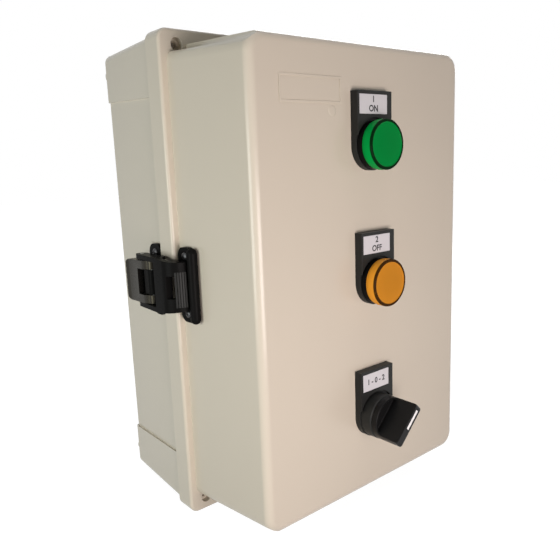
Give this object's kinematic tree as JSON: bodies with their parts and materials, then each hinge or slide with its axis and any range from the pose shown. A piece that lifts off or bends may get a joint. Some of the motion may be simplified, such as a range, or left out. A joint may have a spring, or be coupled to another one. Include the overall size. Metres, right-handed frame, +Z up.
{
  "type": "enclosed motor starter",
  "caption": "Wall-mounted moulded enclosure with a hinged deep cover, side draw latch, pilot lights and a selector switch, holding a contactor and overload relay.",
  "frame": {"origin": "on the wall plane, at the centre of the four wall bolts", "axes": "+X right seen from the front, +Y into the wall, +Z up"},
  "size_m": [0.2203, 0.1933, 0.31],
  "materials": {
    "housing": "semi-gloss moulded",
    "steel": "zinc plated",
    "brass": "plain",
    "dark_grey": "moulded",
    "pale_grey": "moulded",
    "blue": "moulded",
    "red": "moulded",
    "contact_green": "moulded",
    "rubber": "soft",
    "black": "semi-gloss moulded",
    "black_screw": "blackened",
    "label_white": "satin card",
    "green_lens": "translucent",
    "amber_lens": "translucent"
  },
  "bodies": {
    "base": {"base_tub": "housing", "mounting_plate": "steel", "plate_screws": "steel", "starter_rail": "steel", "terminal_rail": "steel", "rail_screws": "steel", "contactor_base": "dark_grey", "contactor_front": "pale_grey", "contactor_screws": "brass", "overload_relay": "dark_grey", "relay_prongs": "brass", "relay_screws": "brass", "terminal_blocks": "pale_grey", "terminal_screws": "steel", "end_stops": "pale_grey", "hinge_base_leaves": "black", "hinge_pins": "steel", "hinge_base_screws": "steel", "latch_bracket": "black", "bracket_screws": "black_screw", "latch_pivot_pin": "steel"},
    "cover": {"cover": "housing", "gasket": "rubber", "hinge_cover_leaves": "black", "hinge_cover_screws": "steel", "latch_keeper": "black", "keeper_screws": "black_screw", "green_holder": "black", "green_label": "label_white", "green_lens": "green_lens", "green_lamp": "black", "amber_holder": "black", "amber_label": "label_white", "amber_lens": "amber_lens", "amber_lamp": "black", "lamp_screws": "steel", "selector_holder": "black", "selector_label": "label_white", "selector_bezel": "black", "selector_carrier": "black", "contact_blocks": "contact_green", "contact_screws": "steel", "seal_washers": "rubber", "lock_nuts": "black"},
    "latch_lever": {"latch_lever": "black", "latch_hook_pins": "steel"},
    "latch_hook": {"latch_hook": "black"},
    "selector_knob": {"selector_knob": "black", "selector_line": "label_white"},
    "contactor_carrier": {"contactor_carrier": "dark_grey"},
    "relay_dial": {"relay_dial": "pale_grey"},
    "reset_button": {"reset_button": "blue"},
    "stop_button": {"stop_button": "red"}
  },
  "joints": [
    {"name": "cover_hinge", "type": "hinge", "parent": "base", "child": "cover", "pos_m": [0.1045, -0.0741, 0], "axis": [0, 0, 1], "range_deg": [0, 120]},
    {"name": "lever_pivot", "type": "hinge", "parent": "base", "child": "latch_lever", "pos_m": [-0.105, -0.0706, 0.0033], "axis": [0, 0, 1], "range_deg": [0, 100]},
    {"name": "hook_pivot", "type": "hinge", "parent": "latch_lever", "child": "latch_hook", "pos_m": [-0.1054, -0.0586, 0.0033], "axis": [0, 0, 1], "range_deg": [-120, 0]},
    {"name": "selector_turn", "type": "hinge", "parent": "cover", "child": "selector_knob", "pos_m": [-0.0014, -0.174, -0.089], "axis": [0, -1, 0], "range_deg": [0, 90]},
    {"name": "carrier_travel", "type": "slide", "parent": "base", "child": "contactor_carrier", "axis": [0, 1, 0], "range_m": [0, 0.004], "stiffness_N_per_m": 200},
    {"name": "dial_turn", "type": "hinge", "parent": "base", "child": "relay_dial", "pos_m": [-0.011, -0.0905, -0.0045], "axis": [0, -1, 0], "range_deg": [-135, 135]},
    {"name": "reset_press", "type": "slide", "parent": "base", "child": "reset_button", "axis": [0, 1, 0], "range_m": [0, 0.0025], "stiffness_N_per_m": 300},
    {"name": "stop_press", "type": "slide", "parent": "base", "child": "stop_button", "axis": [0, 1, 0], "range_m": [0, 0.0025], "stiffness_N_per_m": 300}
  ],
  "couplings": [
    {"joint": "hook_pivot", "follows": "lever_pivot", "ratio": -1.2}
  ]
}
